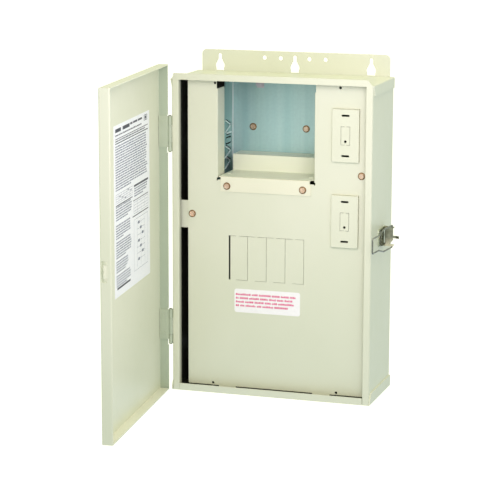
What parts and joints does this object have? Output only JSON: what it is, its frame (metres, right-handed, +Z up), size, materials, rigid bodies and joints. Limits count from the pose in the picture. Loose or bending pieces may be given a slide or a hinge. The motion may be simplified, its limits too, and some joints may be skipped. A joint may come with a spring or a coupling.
{
  "type": "manual transfer switch enclosure",
  "caption": "Outdoor wall-mounted steel control panel with hinged door, dead front, breaker twist-outs, open timer compartment, switch filler plates and side draw latch.",
  "frame": {"origin": "middle of the enclosure's back face, in the plane of the wall", "axes": "+X to the right of a person facing the panel, +Y into the wall, +Z up; the door is modelled swung open"},
  "size_m": [0.3094, 0.3803, 0.44],
  "materials": {
    "paint": "satin powder coat",
    "galvanised": "zinc plated, satin",
    "screw": "yellow zinc plated",
    "latch_metal": "bright zinc with dull areas",
    "wire": "drawn wire",
    "warning_print": "printed vinyl",
    "label_paper": "printed paper",
    "clip": "moulded",
    "moulding": "moulded",
    "bus_metal": "tin plated",
    "terminal_metal": "extruded",
    "terminal_screw": "zinc plated"
  },
  "bodies": {
    "enclosure": {"barrier_bracket": "paint", "barrier_screws": "screw", "bottom_cap": "paint", "breaker_base": "moulding", "breaker_rail": "galvanised", "breaker_twistout_1": "paint", "breaker_twistout_2": "paint", "breaker_twistout_3": "paint", "breaker_twistout_4": "paint", "bus_bar_a": "bus_metal", "bus_bar_b": "bus_metal", "dead_front": "paint", "dead_front_bracket_left": "paint", "dead_front_bracket_right": "paint", "dead_front_screws": "screw", "device_plate_lower": "paint", "device_plate_upper": "paint", "enclosure_wrap": "paint", "ground_bar": "terminal_metal", "ground_bar_feet": "terminal_metal", "ground_bar_screws": "terminal_screw", "hinge_pins": "wire", "hinge_wall_leaf_lower": "paint", "hinge_wall_leaf_upper": "paint", "hinge_wall_rivets": "paint", "latch_base": "latch_metal", "latch_pin": "latch_metal", "latch_rivets": "latch_metal", "liner_screws": "screw", "liner_standoffs": "galvanised", "main_lug_screws": "terminal_screw", "main_lugs": "terminal_metal", "mechanism_clip": "clip", "mechanism_liner": "galvanised", "neutral_bar": "terminal_metal", "neutral_bar_screws": "terminal_screw", "neutral_insulators": "moulding", "toggle_knockout_lower": "paint", "toggle_knockout_upper": "paint", "top_cap": "paint", "warning_label": "warning_print"},
    "door": {"door_pan": "paint", "wiring_label": "label_paper", "hinge_door_leaf_lower": "paint", "hinge_door_leaf_upper": "paint", "hinge_door_rivets": "paint"},
    "latch_lever": {"latch_lever": "latch_metal"},
    "latch_bail": {"latch_bail": "wire"}
  },
  "joints": [
    {"name": "door_hinge", "type": "hinge", "parent": "enclosure", "child": "door", "pos_m": [-0.13635, -0.1065, 0], "axis": [0, 0, 1], "range_deg": [-95.5, 84.5]},
    {"name": "latch_lever_pivot", "type": "hinge", "parent": "enclosure", "child": "latch_lever", "pos_m": [0.13835, -0.05, -0.008], "axis": [0, 0, 1], "range_deg": [-20, 90]},
    {"name": "latch_bail_pivot", "type": "hinge", "parent": "latch_lever", "child": "latch_bail", "pos_m": [0.14635, -0.0493, -0.008], "axis": [0, 0, 1], "range_deg": [-85.7, 19.1]}
  ],
  "couplings": [
    {"joint": "latch_bail_pivot", "follows": "latch_lever_pivot", "ratio": -0.9518}
  ]
}
